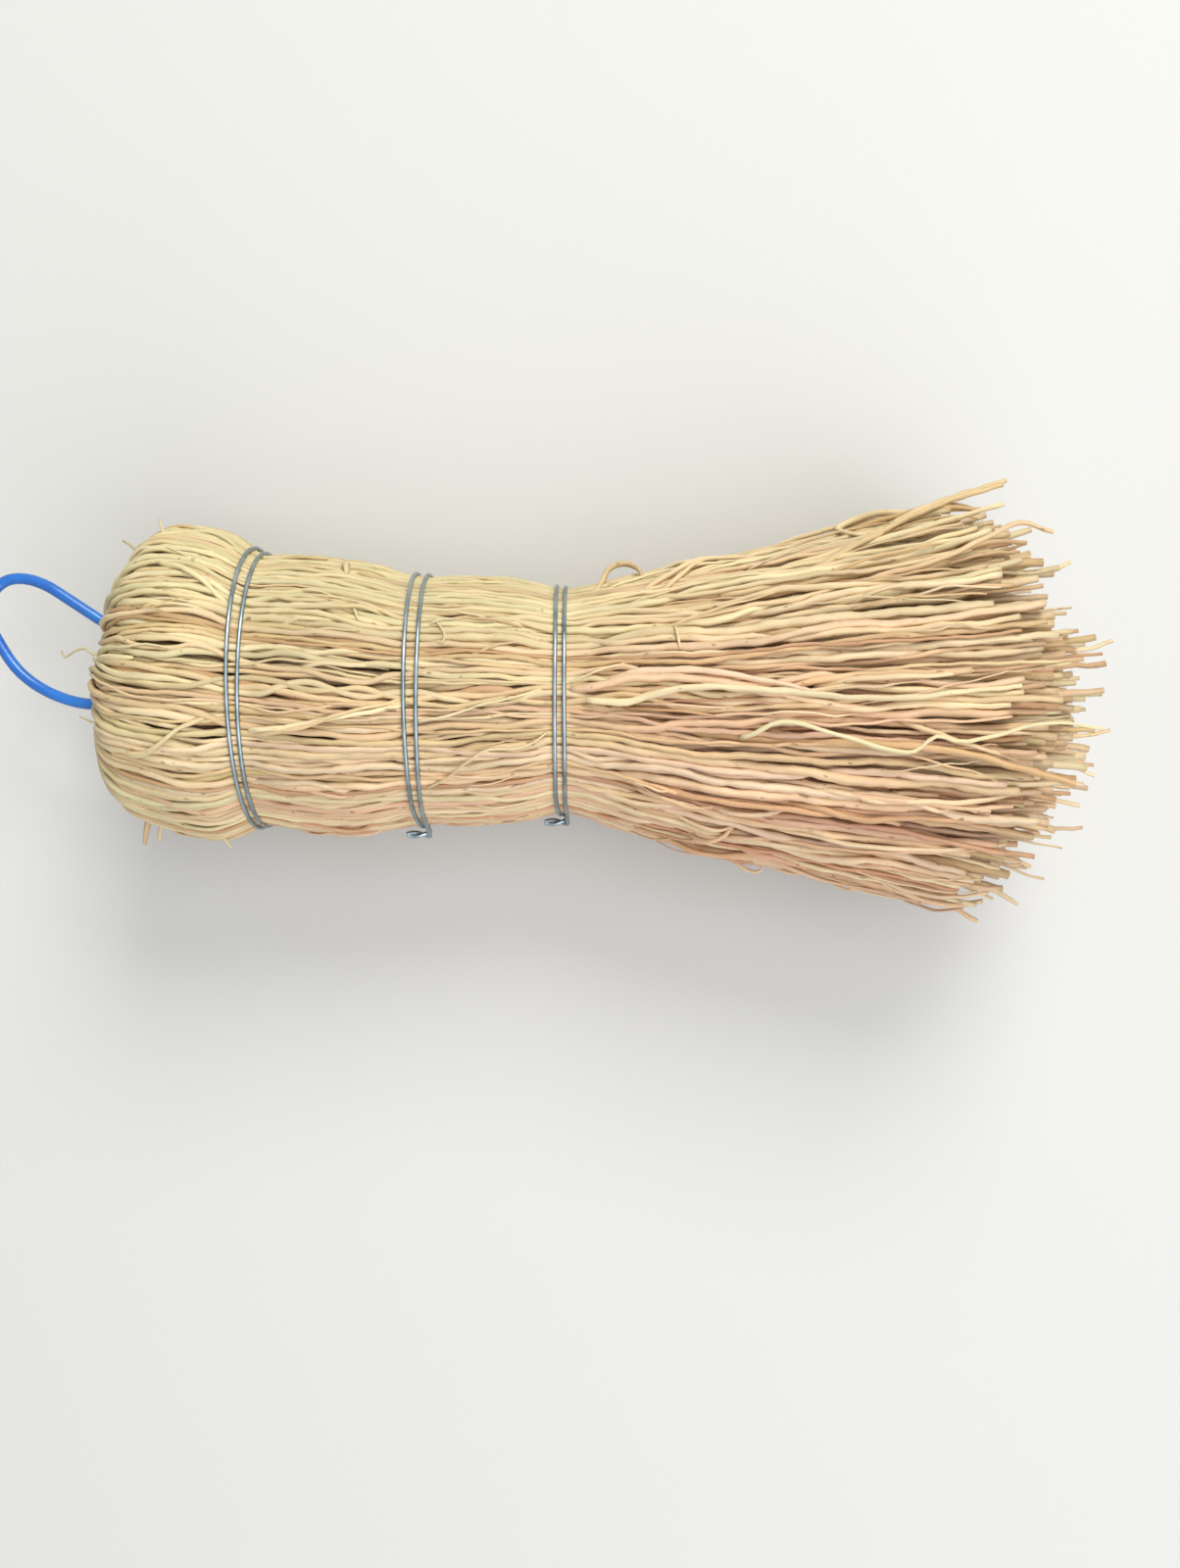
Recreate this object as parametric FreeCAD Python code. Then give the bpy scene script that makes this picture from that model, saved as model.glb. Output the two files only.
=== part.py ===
import FreeCAD
import Part
import math
import os
import random

# A scrub brush made of plant roots, lying on its side on a table. Long thin roots are folded
# over at the head and bound by three double turns of steel wire, and their free ends splay
# into a ragged fan. A plastic cord comes out of the fold as a hanging loop.
# X runs from the head to the tips and Z is up, in millimetres. Lengths along the brush are
# counted from the head's face, and the finished brush is moved to put its origin under it.

Vector = FreeCAD.Vector

# The head, where the roots fold over: flat out to face_radius, then rounded, more squarely
# than an ellipse, which has a fullness of 2
head_radius = 27.4
face_radius = 4.5
head_round = 16.8
head_fullness = 2.7
shoulder_x, shoulder_radius = 21.8, 26.2

# The bound grip, with a pinch under each band of wire and a swell between them
band_head_x, band_head_radius = 25.3, 23.4
grip_x, grip_radius = 39.3, 24.2
band_middle_x, band_middle_radius = 53.6, 21.7
waist_x, waist_radius = 67.3, 21.6
band_neck_x, band_neck_radius = 77.8, 19.5

# The fan of free ends, a little lower than it is wide; the packed roots end in the spray
fan_x, fan_radius = 101.3, 25.4
spray_x, spray_radius = 124.0, 30.3
rim_x, rim_radius = 153.3, 37.6
rim_height_share = 0.84

# How the brush lies: its head pressed a little flat, its axis rising to the wider fan,
# the head bent to one side, and its face and the fan shifted to the other side
head_press = 0.9
axis_rise = 0.006
head_bend = 5.2
bend_end_x = 53.3
face_shift = 8.0
face_run = 9.1
fan_shift = 1.2

# One root of the outer layer
root_width = 1.5
root_thickness = 1.4
root_side_gap = 0.05
root_crown_share = 0.55
root_seat = 0.1
table_seat = 0.4

# Where the folded roots go in round the cord, and how far the free tips vary
fold_radius = 8.3
second_fold_radius = 12.7
fold_y = 6.4
fold_width = 0.75
tip_scatter = 4.5
tip_lift = 1.6
gap_root_width = 1.35
gap_fill = 0.75

# The free ends of the packed roots, which stand out of their end face, the middle ones by
# tip_dome more
inner_root_width = 1.7
inner_rings = 6
inner_layer = 2.6
inner_shortfall = 1.0
tip_dome = 11.0
inner_scatter = 5.0

# Binding wire: each band is one wire, wound twice, its ends twisted together and cut short
wire_diameter = 0.72
wire_seat = 0.06
wire_steps = 20
twist_length = 4.4
twist_turns = 1.5
twist_seat = 0.3
knot_spread = 1.5

# Hanging loop
cord_diameter = 2.0
cord_spacing = 12.4
socket_depth = 3.0
socket_clearance = 0.3

sectors = 12
roots_per_sector = 6
root_count = sectors * roots_per_sector
dice = random.Random(11)


def head_profile(turn):
    """A point of the head's rounding, from the flat face at 0 to the widest place at 90 degrees."""
    angle = math.radians(turn)
    power = 2 / head_fullness
    x = head_round * (1 - max(math.cos(angle), 0) ** power)
    return x, face_radius + (head_radius - face_radius) * math.sin(angle) ** power


def face_point(radius):
    """The point of the head's rounding at a radius."""
    share = (radius - face_radius) / (head_radius - face_radius)
    return head_profile(math.degrees(math.asin(share ** (head_fullness / 2))))


outline = [head_profile(turn) for turn in (36, 63, 90)] + [
    (shoulder_x, shoulder_radius),
    (band_head_x, band_head_radius),
    (grip_x, grip_radius),
    (band_middle_x, band_middle_radius),
    (waist_x, waist_radius),
    (band_neck_x, band_neck_radius),
    (fan_x, fan_radius),
    (spray_x, spray_radius),
    (rim_x, rim_radius),
]


def inset(line, depth):
    """The same line moved inwards by depth, with mitred corners."""
    moved = []
    for i, (x, radius) in enumerate(line):
        normals = []
        for a, b in zip(line[max(i - 1, 0) : i + 1], line[max(i, 1) : i + 2]):
            length = math.hypot(b[0] - a[0], b[1] - a[1])
            normals.append(((b[1] - a[1]) / length, (a[0] - b[0]) / length))
        nx = sum(n[0] for n in normals)
        nr = sum(n[1] for n in normals)
        mitre = depth / (nx * normals[0][0] + nr * normals[0][1])
        moved.append((x + nx * mitre, radius + nr * mitre))
    return moved


def radius_at(line, x):
    """The radius of a line where it passes x, behind the head's face."""
    for (x0, r0), (x1, r1) in zip(line, line[1:]):
        if x0 <= x <= x1:
            return r0 + (r1 - r0) * (x - x0) / (x1 - x0)
    raise ValueError(f"no outline at {x}")


def axis_point(x, radius=head_radius):
    """The middle of the bundle at x; the fold's own middle is to one side."""
    y = head_bend * max(1 - max(x, 0) / bend_end_x, 0) ** 1.5
    y -= face_shift * (1 - math.sqrt(min(max(x, 0) / face_run, 1)))
    y -= fan_shift * min(max((x - band_neck_x) / (fan_x - band_neck_x), 0), 1)
    if x < outline[0][0]:
        inside = (outline[0][1] - radius) / (outline[0][1] - fold_radius)
        y += (fold_y - y) * min(max(inside, 0), 1)
    return Vector(x, y, head_radius - head_press + axis_rise * max(x - head_round, 0))


def height_share(x):
    """The bundle's height over its width: round up to the neck, lower in the fan."""
    return 1 - (1 - rim_height_share) * max(x - band_neck_x, 0) / (rim_x - band_neck_x)


def on_bundle(x, radius, angle):
    """A point round the axis."""
    around = Vector(0, math.cos(angle), math.sin(angle) * height_share(x))
    return axis_point(x, radius) + around * radius


def faceted(sections):
    """A closed solid with flat facets through polygons of as many corners each.

    Where four corners aren't in one plane, the fold between them goes inwards."""
    count = len(sections[0])
    faces = []
    for near, far in zip(sections, sections[1:]):
        middle = sum([*near, *far], Vector()) / (2 * count)
        for k in range(count):
            a, b = near[k], near[(k + 1) % count]
            c, d = far[(k + 1) % count], far[k]
            facets = [(a, b, c), (a, c, d)]
            if abs((b - a).cross(d - a).normalize().dot(c - a)) < 1e-6:
                facets = [(a, b, c, d)]
            elif middle.distanceToPoint((b + d) / 2) < middle.distanceToPoint((a + c) / 2):
                facets = [(a, b, d), (b, c, d)]
            faces += [Part.Face(Part.makePolygon([*f, f[0]])) for f in facets]
    for end in (sections[0], sections[-1]):
        faces.append(Part.Face(Part.makePolygon([*end, end[0]])))
    solid = Part.Solid(Part.Shell(faces))
    if solid.Volume < 0:
        solid.reverse()
    return solid


def root_section(over, under, angle, width, thickness=root_thickness):
    """A root's four corners between its outer and inner line.

    It faces outwards, and lies flat on the table where it would reach below it."""
    crown = width * root_crown_share / 2
    top = on_bundle(*over, angle)
    seat = on_bundle(*under, angle)
    side = Vector(0, -math.sin(angle), math.cos(angle))
    if top.z - crown * abs(side.z) < 0:
        side = Vector(0, 1, 0)
        top.z = 0
        seat.z = thickness
    return [
        top - side * crown,
        top + side * crown,
        seat + side * (width / 2),
        seat - side * (width / 2),
    ]


def slot_width(x, radius):
    """The room round the bundle for one outer root and its share of the gaps."""
    return 2 * math.pi * radius / root_count * height_share(x)


def gap_width(x, radius):
    """The width of a root that comes up in the gap between two outer ones."""
    room = slot_width(x, radius) - root_width - 2 * root_side_gap
    return min(gap_root_width, room * gap_fill)


def wander(x, radius):
    """A random turn from a root's place round the bundle, clear of its neighbours."""
    room = slot_width(x, radius) - root_width - root_side_gap
    if x > band_neck_x:
        room = (room - gap_width(x, radius) - root_side_gap) / 2
    return dice.uniform(-0.5, 0.5) * room / radius


def free_end(line, reach, lift):
    """The line with its last point moved along by reach and outwards by lift."""
    (x0, r0), (x1, r1) = line[-2:]
    slope = (r1 - r0) / (x1 - x0)
    return line[:-1] + [(x1 + reach, r1 + slope * reach + lift)]


def outer_root(angle, fold, reach, lift):
    """One root of the outer layer, from its fold in the head's face to its tip."""
    start = [face_point(fold)] if fold else []
    line = free_end(start + outline, reach, lift)
    under = inset(line, root_thickness)
    sections = []
    for i, (over, seat) in enumerate(zip(line, under)):
        width = fold_width if i == 0 else root_width
        sections.append(root_section(over, seat, angle + wander(*seat), width))
    return faceted(sections)


def gap_root(angle, reach, lift):
    """A root that comes up between two outer ones where the fan opens."""
    line = free_end(outline[-3:], reach, lift)
    under = inset(outline, root_thickness)[-3:-1] + inset(line, root_thickness)[-1:]
    sections = []
    for over, seat in zip(line, under):
        turned = angle + wander(*seat)
        sections.append(root_section(over, seat, turned, gap_width(*seat)))
    return faceted(sections)


def outer_roots():
    """The outer layer as one list of roots for each sector, the first at the bottom."""
    groups = [[] for _ in range(sectors)]
    slot = 2 * math.pi / root_count
    for k in range(root_count):
        angle = -math.pi / 2 + k * slot
        fold = {0: fold_radius, 2: second_fold_radius}.get(k % 4)
        group = groups[(k + roots_per_sector // 2) // roots_per_sector % sectors]
        reach = dice.uniform(-tip_scatter, tip_scatter)
        group.append(outer_root(angle, fold, reach, dice.uniform(0, tip_lift)))
        if on_bundle(rim_x, rim_radius, angle + slot / 2).z > root_thickness:
            reach = dice.uniform(-tip_scatter, tip_scatter)
            group.append(gap_root(angle + slot / 2, reach, dice.uniform(0, tip_lift)))
    return groups


def packed_roots():
    """The roots under the outer layer, as the one mass that they are pressed into."""
    sides = root_count // 3
    line = inset([face_point(fold_radius)] + outline, root_thickness + root_seat)
    sections = []
    for x, radius in line[:-1]:
        ring = [on_bundle(x, radius, 2 * math.pi * k / sides) for k in range(sides)]
        for corner in ring:
            corner.z = max(corner.z, root_thickness + table_seat)
        sections.append(ring)
    return faceted(sections).cut(socket())


def socket():
    """The hollow in the middle of the fold, which holds the ends of the cord."""
    bottom = axis_point(0, 0) + Vector(root_thickness + socket_depth, 0, 0)
    radius = (cord_spacing + cord_diameter) / 2 + socket_clearance
    ring = polygon(12, bottom, radius)
    return Part.Face(Part.makePolygon([*ring, ring[0]])).extrude(Vector(-2 * socket_depth, 0, 0))


def inner_tips():
    """The free ends of the packed roots, as one list for each ring on their end face."""
    end_x, end_radius = inset(outline, root_thickness + root_seat)[-2]
    edge = end_radius * math.cos(3 * math.pi / root_count)
    mean_reach = rim_x - end_x - inner_shortfall
    growth = (rim_radius / spray_radius - 1) / (rim_x - spray_x)
    half = inner_root_width / math.sqrt(2)
    rings = []
    for ring in range(inner_rings):
        ring_radius = (edge - inner_root_width) * (1 - ring / inner_rings)
        count = round(2 * math.pi * (inner_rings - ring))
        lowest = root_thickness + table_seat + half + inner_layer * ring
        tips = []
        for k in range(count):
            angle = 2 * math.pi * (k + dice.uniform(-0.15, 0.15)) / count
            reach = mean_reach + tip_dome * (1 - (ring_radius / edge) ** 2)
            reach += dice.uniform(-inner_scatter, inner_scatter)
            near = on_bundle(end_x, ring_radius, angle)
            far = on_bundle(end_x + reach, ring_radius * (1 + growth * reach), angle)
            if near.z > lowest:
                far.z = max(far.z, lowest)
                tips.append(faceted([polygon(3, end, half, angle) for end in (near, far)]))
        rings.append(tips)
    return rings


def polygon(sides, middle, radius, angle=0):
    """The corners of a regular polygon across the brush."""
    corners = []
    for k in range(sides):
        a = angle + 2 * math.pi * k / sides
        corners.append(middle + Vector(0, math.cos(a), math.sin(a)) * radius)
    return corners


def wire_sections(path):
    """Hexagons across a wire at each (point, outward) of its path."""
    points = [point for point, _ in path]
    sections = []
    for i, (point, outward) in enumerate(path):
        along = Vector()
        if i > 0:
            along += (point - points[i - 1]).normalize()
        if i < len(points) - 1:
            along += (points[i + 1] - point).normalize()
        across = along.cross(outward).normalize()
        up = across.cross(along).normalize()
        ring = []
        for k in range(6):
            a = k * math.pi / 3
            ring.append(point + (across * math.cos(a) + up * math.sin(a)) * (wire_diameter / 2))
        sections.append(ring)
    return sections


def wire_band(x, spacing, knot_degrees, tail):
    """One wire wound twice round the bundle, its ends twisted and bent flat towards tail."""
    knot = math.radians(knot_degrees)
    half = wire_diameter / 2
    path = []
    for k in [0.6, *range(1, 2 * wire_steps), 2 * wire_steps - 0.6]:
        turn = 2 * math.pi * k / wire_steps
        spread = knot_spread + (spacing - knot_spread) * (1 - math.cos(turn)) / 2
        side = max(-1, min(1, (turn - 2 * math.pi) / math.radians(30)))
        wire_x = x + side * spread / 2
        under = max(radius_at(outline, wire_x + s * half) for s in (-1, 1))
        radius = (under + wire_seat + half) / math.cos(math.pi / wire_steps)
        outward = Vector(0, math.cos(knot + turn), math.sin(knot + turn))
        path.append((axis_point(wire_x) + outward * radius, outward))
    outward = Vector(0, math.cos(knot), math.sin(knot))
    along = Vector(tail, 0, 0)
    sideways = along.cross(outward)
    rise = radius_at(outline, x) + 2 * wire_diameter + twist_seat
    root = axis_point(x) + outward * rise + along * -knot_spread
    ends = []
    for phase in (-math.pi / 2, math.pi / 2):
        strand = []
        steps = int(4 * twist_turns)
        for k in range(steps + 1):
            a = phase + 2 * math.pi * twist_turns * k / steps
            ring = sideways * math.cos(a) + outward * math.sin(a)
            point = root + along * (twist_length * k / steps) + ring * (0.56 * wire_diameter)
            strand.append((point, outward))
        ends.append(strand)
    return faceted(wire_sections(ends[0][::-1] + path + ends[1]))


def cord_route():
    """The points of the hanging loop, from one side of the fold to the other."""
    bottom = axis_point(0, 0) + Vector(root_thickness + socket_depth, 0, 0)
    side = cord_spacing / 2
    steps = [
        (0.0, side, 0.0),
        (-5.5, side, 0.0),
        (-12.1, side + 4.4, 0.2),
        (-19.3, side + 9.1, 0.1),
        (-25.7, side + 9.2, -0.2),
        (-29.3, side + 3.7, -0.6),
        (-26.5, -side + 10.2, -0.9),
        (-22.7, -side + 4.6, -0.9),
        (-16.7, -side + 0.8, -0.7),
        (-9.9, -side - 1.0, -0.3),
        (-4.0, -side, 0.0),
        (0.0, -side, 0.0),
    ]
    return [bottom + Vector(*step) for step in steps]


def hanging_loop():
    """A tube along straight runs joined by tangent arcs."""
    route = cord_route()
    edges = []
    radii = []
    here = route[0]
    for before, corner, after in zip(route, route[1:], route[2:]):
        back = corner - before
        onward = after - corner
        half_turn = back.getAngle(onward) / 2
        tangent = 0.45 * min(back.Length, onward.Length)
        radii.append(tangent / math.tan(half_turn))
        enter = corner - back.normalize() * tangent
        leave = corner + onward.normalize() * tangent
        inward = (enter + leave - corner * 2).normalize()
        middle = corner + inward * (radii[-1] / math.cos(half_turn) - radii[-1])
        edges.append(Part.LineSegment(here, enter).toShape())
        edges.append(Part.Arc(enter, middle, leave).toShape())
        here = leave
    edges.append(Part.LineSegment(here, route[-1]).toShape())
    path = Part.Wire(edges)
    ring = polygon(8, route[0], cord_diameter / 2)
    profile = Part.Face(Part.makePolygon([*ring, ring[0]]))
    tube = path.makePipe(profile)
    plain = profile.Area * path.Length
    print("loop radii:", [round(r, 1) for r in radii], "length:", round(path.Length, 1))
    print("loop volume:", round(tube.Volume, 1), "section times length:", round(plain, 1))
    return tube


def all_parts():
    """Every node's name and shape, before the brush is moved over its origin."""
    parts = {"packed_roots": packed_roots()}
    for k, roots in enumerate(outer_roots(), 1):
        parts[f"outer_roots_{k:02d}"] = Part.makeCompound(roots)
    for k, tips in enumerate(inner_tips(), 1):
        parts[f"inner_tips_{k}"] = Part.makeCompound(tips)
    parts["wire_band_head"] = wire_band(band_head_x, 2.0, 222, 1)
    parts["wire_band_middle"] = wire_band(band_middle_x, 2.7, 184, -1)
    parts["wire_band_neck"] = wire_band(band_neck_x, 1.9, 188, -1)
    parts["hanging_loop"] = hanging_loop()
    return parts


os.makedirs("parts", exist_ok=True)
brush = all_parts()
bundle = [shape for name, shape in brush.items() if name != "hanging_loop"]
box = Part.makeCompound(bundle).BoundBox
to_origin = Vector(-box.Center.x, -box.Center.y, -box.ZMin)
print("brush size:", round(box.XLength, 1), round(box.YLength, 1), round(box.ZLength, 1))
print("moved by:", [round(v, 3) for v in to_origin])
for name, shape in brush.items():
    shape.translate(to_origin)
    shape.exportStep(f"parts/{name}.step")
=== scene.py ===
import math

import bpy
import numpy as np
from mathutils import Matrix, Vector


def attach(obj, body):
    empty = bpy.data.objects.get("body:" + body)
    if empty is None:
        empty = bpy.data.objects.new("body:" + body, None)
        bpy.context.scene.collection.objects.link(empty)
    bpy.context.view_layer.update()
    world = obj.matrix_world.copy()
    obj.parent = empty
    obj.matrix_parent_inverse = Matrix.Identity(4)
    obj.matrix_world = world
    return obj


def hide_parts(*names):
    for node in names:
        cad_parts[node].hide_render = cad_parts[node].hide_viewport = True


# A scrub brush of plant roots on its side: roots folded over at the head, three wire bands,
# a fan of free ends and a blue hanging loop. Lengths in the settings are millimetres. Along
# the bundle they count from the head's face; camera, cord and loose ends are in the frame.
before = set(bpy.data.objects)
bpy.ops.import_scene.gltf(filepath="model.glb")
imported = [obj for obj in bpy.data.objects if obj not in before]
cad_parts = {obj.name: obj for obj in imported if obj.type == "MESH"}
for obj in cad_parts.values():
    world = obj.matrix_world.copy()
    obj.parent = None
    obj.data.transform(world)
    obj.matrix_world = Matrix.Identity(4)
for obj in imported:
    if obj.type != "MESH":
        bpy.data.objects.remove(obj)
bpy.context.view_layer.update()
mm = 0.001
dice = np.random.default_rng(20)


def addObject(name, data):
    piece = bpy.data.objects.new(name, data)
    bpy.context.scene.collection.objects.link(piece)
    return piece


def lengthAlong(points):
    # how far along the line each of its points lies
    return np.concatenate([[0], np.cumsum(np.linalg.norm(np.diff(points, axis=0), axis=1))])


def smooth(points, rounds):
    # rounds the corners of a line between its two ends
    for _ in range(rounds):
        points[1:-1] = 0.25 * points[:-2] + 0.5 * points[1:-1] + 0.25 * points[2:]
    return points


# How the bundle lies in the frame
bundle = {
    "faceX": -82.944,
    "sideY": 1.232,
    "headHeight": 26.5,
    "headRadius": 27.4,
    "faceRadius": 4.5,
    "headRound": 16.8,
    "headFullness": 2.7,
    "headEnd": 18,
    "axisRise": 0.006,
    "headBend": 5.2,
    "bendEnd": 53.3,
    "faceLean": 7.2,
    "faceRun": 9.1,
    "fanShift": 1.2,
    "foldY": 6.4,
    "foldRadius": 8.3,
    "foldRim": 20.0,
    "foldEnd": 8,
    "neckX": 77.8,
    "fanX": 101.3,
    "rimX": 153.3,
    "rimHeightShare": 0.84,
    "bandsX": (25.3, 53.6, 77.8),
    "pinchWidth": 4.0,
    "fineStep": 0.25,
    "cornerRounds": 14,
    "closeEnd": 12,
    "closeSpacing": 1.25,
    "spacing": 2.0,
}

# Camera straight above, at the photograph's distance
camera = {"x": -0.15, "y": -13.4, "height": 286.5, "lens": 33.75}
cameraData = bpy.data.cameras.new("camera")
cameraData.sensor_fit = "VERTICAL"
cameraData.sensor_height = 36.0
cameraData.lens = camera["lens"]
cameraData.clip_start = 0.01
cameraPiece = addObject("camera", cameraData)
cameraPiece.location = (camera["x"] * mm, camera["y"] * mm, camera["height"] * mm)
bpy.context.scene.camera = cameraPiece

# The hanging loop: a stiff cord that comes out of the fold and goes back in
loop = {
    "diameter": 2.0,
    "exit": (-82.94, 13.83, 26.5),
    "length": 70.9,
    "route": [
        (-78.5, 13.83, 26.5), (-84.1, 13.83, 26.5), (-90.7, 18.19, 26.7), (-97.9, 22.89, 26.6),
        (-104.3, 22.99, 26.3), (-107.9, 17.49, 25.9), (-105.1, 11.59, 25.6), (-101.3, 5.99, 25.6),
        (-95.3, 2.19, 25.8), (-88.5, 0.39, 26.2), (-82.6, 1.43, 26.5), (-78.5, 1.43, 26.5),
    ],
}
loopCurve = bpy.data.curves.new("hangingLoop", "CURVE")
loopCurve.dimensions = "3D"
spline = loopCurve.splines.new("NURBS")
spline.points.add(len(loop["route"]) - 1)
for point, spot in zip(spline.points, loop["route"]):
    point.co = (spot[0] * mm, spot[1] * mm, spot[2] * mm, 1.0)
    point.radius = loop["diameter"] / 2 * mm  # the curve's bounds go by this radius
spline.order_u = 3
spline.use_endpoint_u = True
spline.resolution_u = 24
loopCurve.bevel_depth = 1.0
loopCurve.bevel_resolution = 6
loopCurve.use_fill_caps = True
loopPiece = addObject("hangingLoop", loopCurve)
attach(loopPiece, "root")
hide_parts("hanging_loop")
print("loop laid")


def headCurve():
    # squarer than an ellipse, as roots are that bend over in a short way
    power = 2 / bundle["headFullness"]
    points = []
    for turn in np.radians([7, 11, 16, 22, 29, 36, 44, 52, 60, 68, 76, 83, 90]):
        x = bundle["headRound"] * (1 - max(math.cos(turn), 0) ** power)
        swell = (bundle["headRadius"] - bundle["faceRadius"]) * math.sin(turn) ** power
        points.append((x, bundle["faceRadius"] + swell))
    return points


# The outline over the roots: out of the fold, round the head, along the grip and up the fan
outlinePoints = (
    [(7.5, 6.0), (4.0, 6.2), (1.6, 6.8), (0.4, 8.0)]
    + headCurve()
    + [
        (19.2, 27.15), (21.6, 26.25), (23.6, 24.6), (25.3, 23.45), (27.0, 23.5), (30.0, 24.0), (34.5, 24.35),
        (39.3, 24.3), (45.5, 23.5), (50.8, 22.2), (53.6, 21.7), (56.0, 21.8), (61.5, 21.8), (67.3, 21.6),
        (73.0, 20.9), (76.2, 19.8), (77.8, 19.5), (79.8, 19.7), (85.0, 21.1), (93.0, 23.3), (101.3, 25.4),
        (116.5, 28.6), (135.3, 32.8), (144.0, 35.1), (153.3, 37.6), (164.0, 40.4), (174.0, 43.0),
    ]
)


def pickSections(points):
    # the outline smoothed, and sections on it, closer round the head where the roots bend most
    points = np.array(points, float)
    lengths = lengthAlong(points)
    fine = np.arange(0, lengths[-1], bundle["fineStep"])
    curve = np.stack([np.interp(fine, lengths, points[:, k]) for k in range(2)], axis=1)
    smooth(curve, bundle["cornerRounds"])
    picks = [0]
    while picks[-1] < len(curve) - 1:
        near = curve[picks[-1], 0] < bundle["closeEnd"]
        spacing = bundle["closeSpacing"] if near else bundle["spacing"]
        picks.append(picks[-1] + int(spacing / bundle["fineStep"]))
    return curve[picks[:-1]]


profile = pickSections(outlinePoints)
stations = len(profile)
outlineX, radiusAt = profile[:, 0], profile[:, 1]
runAlong = lengthAlong(profile)
slope = np.gradient(profile, axis=0)
slope /= np.linalg.norm(slope, axis=1)[:, None]
lipEnd = int(np.argmin(outlineX[:25]))  # the section where the fold ends and the face begins
onHead = outlineX < bundle["headEnd"]
outX = np.where(onHead, -np.abs(slope[:, 1]), 0.0)  # the outward normal, on the head
outR = np.sqrt(1 - outX**2)
inFan = np.clip((outlineX - bundle["neckX"]) / 60, 0, 1)
fanRun = np.clip((outlineX - bundle["neckX"]) / (bundle["rimX"] - bundle["neckX"]), 0, 1.2)
heightShare = 1 - (1 - bundle["rimHeightShare"]) * fanRun
pinches = [np.exp(-(((outlineX - x) / bundle["pinchWidth"]) ** 2)) for x in bundle["bandsX"]]
nearBand = np.max(pinches, axis=0)


def axisAt(x, radius=30.0):
    # the middle of the bundle; within the fold, so at a small radius, it lies to one side
    x, radius = np.asarray(x, float), np.asarray(radius, float)
    y = bundle["headBend"] * np.clip(1 - np.maximum(x, 0) / bundle["bendEnd"], 0, None) ** 1.5
    shifted = np.clip((x - bundle["neckX"]) / (bundle["fanX"] - bundle["neckX"]), 0, 1)
    y = y - bundle["fanShift"] * shifted
    depth = (bundle["foldRim"] - radius) / (bundle["foldRim"] - bundle["foldRadius"])
    inside = np.where(x < bundle["foldEnd"], np.clip(depth, 0, 1), 0)
    y = y + (bundle["foldY"] - y) * inside
    z = bundle["headHeight"] + bundle["axisRise"] * np.maximum(x - bundle["headRound"], 0)
    return y + bundle["sideY"], z


axisY, axisZ = axisAt(outlineX, radiusAt)


# The face leans: on the far side of the head the outline starts further along the brush than
# on the near side. A table gives the new place along for each section and each side.
headTop = int(np.argmax(radiusAt[:40]))
leanSides = np.linspace(-1, 1, 21)
headX, headR = outlineX[lipEnd : headTop + 1], radiusAt[lipEnd : headTop + 1]
lean = bundle["faceLean"] * (1 - np.clip(headX / bundle["faceRun"], 0, 1)) ** 1.6
leanTable = []
for side in leanSides:
    leanTable.append(np.interp(headR, headR - lean * side * (1.1 + 0.25 * side), headX))
leanTable = np.array(leanTable)


def leanedX(s, side):
    column = np.clip(s - lipEnd, 0, headTop - lipEnd)
    part = (np.clip(side, -1, 1) + 1) / (leanSides[1] - leanSides[0])
    row = np.minimum(part.astype(int), len(leanSides) - 2)
    x = leanTable[row, column] * (1 - part + row) + leanTable[row + 1, column] * (part - row)
    return np.where((s >= lipEnd) & (s <= headTop), x, outlineX[s])


def stationNear(x):
    return int(lipEnd + np.argmin(np.abs(outlineX[lipEnd:] - x)))


def rimAt(x):
    # the outline's radius from the head's face on
    return np.interp(x, outlineX[lipEnd:], radiusAt[lipEnd:])


def waves(count, kinds, along=runAlong):
    # gentle random waves along each root, each kind by its shortest and longest wave and height
    total = np.zeros((count, len(along)))
    for shortest, longest, height in kinds:
        period = dice.uniform(shortest, longest, (count, 1))
        start = dice.uniform(0, 1, (count, 1))
        total += height * np.sin(2 * np.pi * (along[None, :] / period + start))
    return total


# The roots. Four outer layers run from the fold to their tips, the rest show only in the fan
roots = {
    "layerCounts": (104, 96, 80, 60),
    "layerDepth": 1.08,
    "fanRoots": 640,
    "radius": 0.59,
    "radiusSpread": 0.13,
    "radiusRange": (0.4, 0.78),
    "thinShare": 0.2,
    "thinRange": (0.24, 0.42),
    "innerThinner": 0.93,
    "fanThicker": 1.08,
    "tipThinner": 0.15,
    "innerEdge": 0.92,
    "innerCrowding": 0.45,
    "innerStart": (64, 72),
    "foldedShares": (0.62, 0.45, 0.15, 0.0),
    "gripWander": 1.0,
    "gripDrift": 1.3,
    "fanWander": 0.65,
    "fanDrift": 3.0,
    "faceBulge": 0.8,
    "faceBulgeSpread": 0.55,
    "tipInset": 1.0,
    "tipDome": 12.5,
    "tipScatter": 2.7,
    "sideShort": 9.8,
    "shortShare": 0.09,
    "outerShortBy": (4, 22),
    "innerShortBy": (2, 8),
    "longShare": 0.03,
    "longBy": (2, 6),
    "tipMost": 16.5,
}
innerLayer = 9  # stands for the roots that belong to none of the outer layers
layerOf, angleOf = [], []
for layer, count in enumerate(roots["layerCounts"]):
    layerOf += [layer] * count
    angleOf += list((np.arange(count) + dice.uniform(-0.35, 0.35, count)) * 2 * np.pi / count)
rootCount = len(layerOf) + roots["fanRoots"]
layerOf = np.array(layerOf + [innerLayer] * roots["fanRoots"])
angleOf = np.array(angleOf + list(dice.uniform(0, 2 * np.pi, roots["fanRoots"])))
outer = layerOf < innerLayer
radiusOf = dice.normal(roots["radius"], roots["radiusSpread"], rootCount)
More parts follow.
